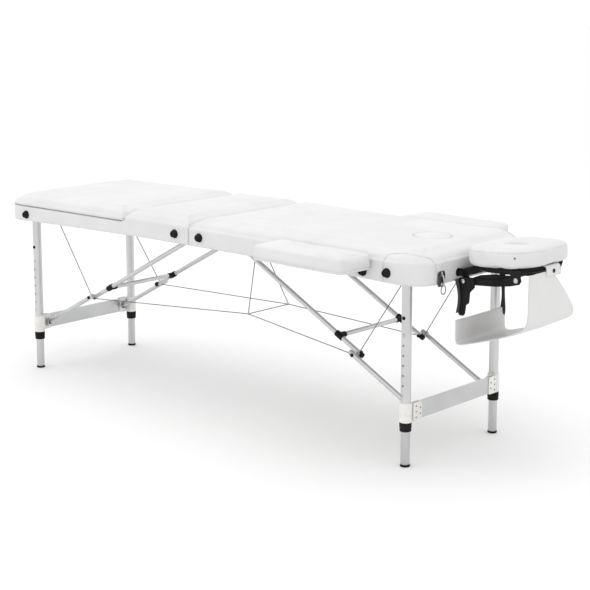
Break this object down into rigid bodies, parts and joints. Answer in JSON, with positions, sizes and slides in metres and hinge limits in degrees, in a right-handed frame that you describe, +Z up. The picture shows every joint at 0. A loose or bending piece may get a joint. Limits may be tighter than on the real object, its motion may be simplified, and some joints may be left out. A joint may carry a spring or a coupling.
{
  "type": "folding treatment bed",
  "caption": "Two-section folding treatment bed with white padded top, aluminium telescopic legs, lift-up backrest, armrests, face cradle and arm sling.",
  "frame": {"origin": "on the floor, under the middle of the overall box", "axes": "+X along the bed towards the face cradle, +Y across the bed to the far side, +Z up"},
  "size_m": [2.1255, 0.84, 0.6667],
  "materials": {
    "vinyl": "soft white vinyl upholstery over foam",
    "deck": "sanded plywood and softwood rail",
    "aluminium": "satin anodised",
    "steel": "plain bright",
    "clamp_white": "moulded off-white",
    "foot_black": "matt black",
    "cradle_black": "black, lightly textured",
    "strap": "woven webbing"
  },
  "bodies": {
    "head_half": {"head_half_frame": "deck", "head_half_pad": "vinyl", "centre_hinge_head": "steel", "leg_hinge_rod_head": "steel", "case_latch_plate": "steel", "steel_cable_net": "steel"},
    "back_half": {"back_half_frame": "deck", "back_fixed_pad": "vinyl", "centre_hinge_back": "steel", "leg_hinge_rod_back": "steel"},
    "backrest": {"backrest_board": "deck", "backrest_pad": "vinyl"},
    "backrest_prop": {"backrest_prop_near": "aluminium", "backrest_prop_far": "aluminium"},
    "face_plug": {"face_hole_plug": "vinyl"},
    "head_legs": {"outer_leg_head_near": "aluminium", "outer_leg_head_far": "aluminium", "leg_clamp_head_near": "clamp_white", "leg_clamp_head_far": "clamp_white", "cross_panel_head": "aluminium"},
    "head_upper_braces": {"upper_brace_head_near": "aluminium", "upper_brace_head_far": "aluminium", "brace_cross_tube_head": "aluminium"},
    "head_lower_braces": {"lower_brace_head_near": "aluminium", "lower_brace_head_far": "aluminium"},
    "inner_leg_head_near": {"inner_leg_head_near": "aluminium", "foot_cap_head_near": "foot_black"},
    "height_button_head_near": {"height_button_head_near": "steel"},
    "inner_leg_head_far": {"inner_leg_head_far": "aluminium", "foot_cap_head_far": "foot_black"},
    "height_button_head_far": {"height_button_head_far": "steel"},
    "back_legs": {"outer_leg_back_near": "aluminium", "outer_leg_back_far": "aluminium", "leg_clamp_back_near": "clamp_white", "leg_clamp_back_far": "clamp_white", "cross_panel_back": "aluminium"},
    "back_upper_braces": {"upper_brace_back_near": "aluminium", "upper_brace_back_far": "aluminium", "brace_cross_tube_back": "aluminium"},
    "back_lower_braces": {"lower_brace_back_near": "aluminium", "lower_brace_back_far": "aluminium"},
    "inner_leg_back_near": {"inner_leg_back_near": "aluminium", "foot_cap_back_near": "foot_black"},
    "height_button_back_near": {"height_button_back_near": "steel"},
    "inner_leg_back_far": {"inner_leg_back_far": "aluminium", "foot_cap_back_far": "foot_black"},
    "height_button_back_far": {"height_button_back_far": "steel"},
    "armrest_near": {"armrest_pad_near": "vinyl", "armrest_bracket_near": "aluminium"},
    "armrest_far": {"armrest_pad_far": "vinyl", "armrest_bracket_far": "aluminium"},
    "cradle_base": {"cradle_posts": "cradle_black", "arm_sling": "vinyl", "sling_strap_near": "strap", "sling_strap_far": "strap"},
    "cradle_arm_frame": {"cradle_arms": "cradle_black"},
    "cradle_head": {"cradle_ring": "cradle_black", "cradle_cushion": "vinyl"},
    "cam_lever": {"cradle_cam_lever": "cradle_black"},
    "latch_loop": {"case_latch_loop": "steel"}
  },
  "joints": [
    {"name": "table_fold", "type": "hinge", "parent": "head_half", "child": "back_half", "pos_m": [-0.1325, 0, 0.5565], "axis": [0, -1, 0], "range_deg": [0, 100], "deforming": ["steel_cable_net"]},
    {"name": "head_leg_fold", "type": "hinge", "parent": "head_half", "child": "head_legs", "pos_m": [0.7075, 0, 0.582], "axis": [0, 1, 0], "range_deg": [0, 90], "deforming": ["steel_cable_net"]},
    {"name": "head_upper_brace_fold", "type": "hinge", "parent": "head_half", "child": "head_upper_braces", "pos_m": [-0.0825, 0, 0.587], "axis": [0, -1, 0], "range_deg": [0, 28.6]},
    {"name": "head_lower_brace_fold", "type": "hinge", "parent": "head_legs", "child": "head_lower_braces", "pos_m": [0.7025, 0, 0.163], "axis": [0, 1, 0], "range_deg": [0, 61.8]},
    {"name": "leg_height_head_near", "type": "slide", "parent": "head_legs", "child": "inner_leg_head_near", "axis": [0, 0, -1], "range_m": [0, 0.18]},
    {"name": "height_button_press_head_near", "type": "slide", "parent": "inner_leg_head_near", "child": "height_button_head_near", "axis": [0, 1, 0], "range_m": [0, 0.004], "stiffness_N_per_m": 500, "springref_m": -0.002},
    {"name": "leg_height_head_far", "type": "slide", "parent": "head_legs", "child": "inner_leg_head_far", "axis": [0, 0, -1], "range_m": [0, 0.18]},
    {"name": "height_button_press_head_far", "type": "slide", "parent": "inner_leg_head_far", "child": "height_button_head_far", "axis": [0, -1, 0], "range_m": [0, 0.004], "stiffness_N_per_m": 500, "springref_m": -0.002},
    {"name": "back_leg_fold", "type": "hinge", "parent": "back_half", "child": "back_legs", "pos_m": [-0.9725, 0, 0.582], "axis": [0, -1, 0], "range_deg": [0, 90], "deforming": ["steel_cable_net"]},
    {"name": "back_upper_brace_fold", "type": "hinge", "parent": "back_half", "child": "back_upper_braces", "pos_m": [-0.1825, 0, 0.587], "axis": [0, 1, 0], "range_deg": [0, 28.6]},
    {"name": "back_lower_brace_fold", "type": "hinge", "parent": "back_legs", "child": "back_lower_braces", "pos_m": [-0.9675, 0, 0.163], "axis": [0, -1, 0], "range_deg": [0, 61.8]},
    {"name": "leg_height_back_near", "type": "slide", "parent": "back_legs", "child": "inner_leg_back_near", "axis": [0, 0, -1], "range_m": [0, 0.18]},
    {"name": "height_button_press_back_near", "type": "slide", "parent": "inner_leg_back_near", "child": "height_button_back_near", "axis": [0, 1, 0], "range_m": [0, 0.004], "stiffness_N_per_m": 500, "springref_m": -0.002},
    {"name": "leg_height_back_far", "type": "slide", "parent": "back_legs", "child": "inner_leg_back_far", "axis": [0, 0, -1], "range_m": [0, 0.18]},
    {"name": "height_button_press_back_far", "type": "slide", "parent": "inner_leg_back_far", "child": "height_button_back_far", "axis": [0, -1, 0], "range_m": [0, 0.004], "stiffness_N_per_m": 500, "springref_m": -0.002},
    {"name": "backrest_lift", "type": "hinge", "parent": "back_half", "child": "backrest", "pos_m": [-0.4425, 0, 0.61235], "axis": [0, 1, 0], "range_deg": [0, 50]},
    {"name": "backrest_prop_swing", "type": "hinge", "parent": "backrest", "child": "backrest_prop", "pos_m": [-0.7725, 0, 0.598], "axis": [0, 1, 0], "range_deg": [0, 9]},
    {"name": "face_plug_lift", "type": "slide", "parent": "head_half", "child": "face_plug", "axis": [0, 0, 1], "range_m": [0, 0.05]},
    {"name": "armrest_slide_near", "type": "slide", "parent": "head_half", "child": "armrest_near", "axis": [0, -1, 0], "range_m": [0, 0.06]},
    {"name": "armrest_slide_far", "type": "slide", "parent": "head_half", "child": "armrest_far", "axis": [0, 1, 0], "range_m": [0, 0.06]},
    {"name": "cradle_slide", "type": "slide", "parent": "head_half", "child": "cradle_base", "axis": [1, 0, 0], "range_m": [0, 0.06]},
    {"name": "cradle_tilt", "type": "hinge", "parent": "cradle_base", "child": "cradle_arm_frame", "pos_m": [0.8215, 0, 0.551], "axis": [0, -1, 0], "range_deg": [-12, 4], "deforming": ["arm_sling"]},
    {"name": "cradle_head_tilt", "type": "hinge", "parent": "cradle_arm_frame", "child": "cradle_head", "pos_m": [0.9995, 0, 0.576], "axis": [0, -1, 0], "range_deg": [-12, 2], "deforming": ["arm_sling"]},
    {"name": "cam_lever_turn", "type": "hinge", "parent": "cradle_base", "child": "cam_lever", "pos_m": [0.8215, 0, 0.551], "axis": [0, -1, 0], "range_deg": [0, 80]},
    {"name": "latch_loop_swing", "type": "hinge", "parent": "head_half", "child": "latch_loop", "pos_m": [0.80244, -0.18151, 0.5595], "axis": [0.0349, -0.9994, 0], "range_deg": [0, 90]}
  ],
  "couplings": [
    {"joint": "head_upper_brace_fold", "follows": "head_leg_fold", "ratio": 0.31528},
    {"joint": "head_lower_brace_fold", "follows": "head_leg_fold", "ratio": 0.68472},
    {"joint": "back_upper_brace_fold", "follows": "back_leg_fold", "ratio": 0.31528},
    {"joint": "back_lower_brace_fold", "follows": "back_leg_fold", "ratio": 0.68472},
    {"joint": "backrest_prop_swing", "follows": "backrest_lift", "ratio": 0.172}
  ]
}
